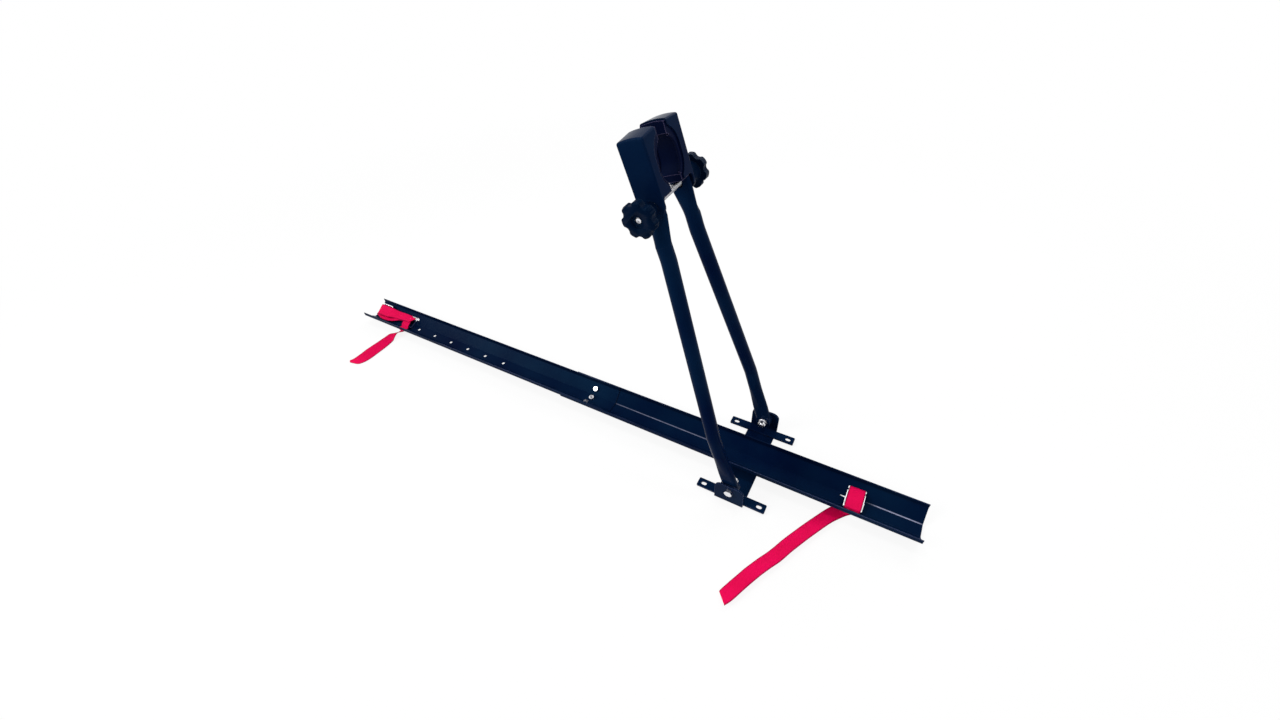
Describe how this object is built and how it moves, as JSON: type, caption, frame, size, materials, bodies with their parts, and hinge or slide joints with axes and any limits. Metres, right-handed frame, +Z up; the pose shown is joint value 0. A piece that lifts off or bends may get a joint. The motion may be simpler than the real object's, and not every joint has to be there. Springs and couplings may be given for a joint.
{
  "type": "roof bike carrier",
  "caption": "Upright roof bike carrier: jointed wheel tray on a slotted base bracket, folding pair of arms with a screw-clamped padded frame jaw, and wheel straps.",
  "frame": {"origin": "centre of the base plate's underside, which rests on the roof bars, midway between the arm pivots", "axes": "+X along the wheel tray towards its short end, +Y from the front arm to the rear arm, +Z up"},
  "size_m": [1.35, 0.3419, 0.5912],
  "materials": {
    "dark_paint": "gloss",
    "zinc": "bright zinc",
    "black_rubber": "matt",
    "black_plastic": "satin",
    "red_webbing": "woven"
  },
  "bodies": {
    "base": {"tray_main": "dark_paint", "tray_extension": "dark_paint", "tray_joint_bolts": "zinc", "tray_joint_nuts": "zinc", "base_bracket": "dark_paint", "clamp_bar_front": "dark_paint", "clamp_bar_rear": "dark_paint", "pivot_bolts": "zinc", "pivot_nuts": "zinc", "pivot_washers": "zinc", "pivot_sleeves": "zinc", "strap_left": "red_webbing", "strap_right": "red_webbing", "buckle_left_inner": "zinc", "buckle_left_outer": "zinc", "buckle_right": "zinc"},
    "swing": {"clamp_rod": "zinc"},
    "front_arm": {"arm_front": "dark_paint", "jaw_front": "dark_paint", "pad_front": "black_rubber"},
    "rear_arm": {"arm_rear": "dark_paint", "jaw_rear": "dark_paint", "pad_rear": "black_rubber"},
    "front_washer": {"knob_washer_front": "zinc"},
    "rear_washer": {"knob_washer_rear": "zinc"},
    "front_knob": {"knob_front": "black_plastic", "knob_insert_front": "zinc"},
    "rear_knob": {"knob_rear": "black_plastic", "knob_insert_rear": "zinc"}
  },
  "joints": [
    {"name": "arm_fold", "type": "hinge", "parent": "base", "child": "swing", "pos_m": [0, 0, 0.036], "axis": [0, 1, 0], "range_deg": [-70, 106]},
    {"name": "front_lean", "type": "hinge", "parent": "swing", "child": "front_arm", "pos_m": [0, -0.082, 0.036], "axis": [0.9553, 0, 0.2957], "range_deg": [0, 1.8]},
    {"name": "rear_lean", "type": "hinge", "parent": "swing", "child": "rear_arm", "pos_m": [0, 0.082, 0.036], "axis": [-0.9553, 0, -0.2957], "range_deg": [0, 1.8]},
    {"name": "front_washer_slide", "type": "slide", "parent": "swing", "child": "front_washer", "axis": [0, -1, 0], "range_m": [0, 0.0151]},
    {"name": "rear_washer_slide", "type": "slide", "parent": "swing", "child": "rear_washer", "axis": [0, 1, 0], "range_m": [0, 0.0151]},
    {"name": "front_knob_turn", "type": "hinge", "parent": "front_washer", "child": "front_knob", "pos_m": [-0.14549, 0, 0.506], "axis": [0, -1, 0], "range_deg": [0, 4320]},
    {"name": "rear_knob_turn", "type": "hinge", "parent": "rear_washer", "child": "rear_knob", "pos_m": [-0.14549, 0, 0.506], "axis": [0, 1, 0], "range_deg": [0, 4320]}
  ],
  "couplings": [
    {"joint": "front_lean", "follows": "front_knob_turn", "ratio": 0.00040436},
    {"joint": "front_washer_slide", "follows": "front_knob_turn", "m_per_rad": 0.00019894},
    {"joint": "rear_lean", "follows": "rear_knob_turn", "ratio": 0.00040436},
    {"joint": "rear_washer_slide", "follows": "rear_knob_turn", "m_per_rad": 0.00019894}
  ]
}
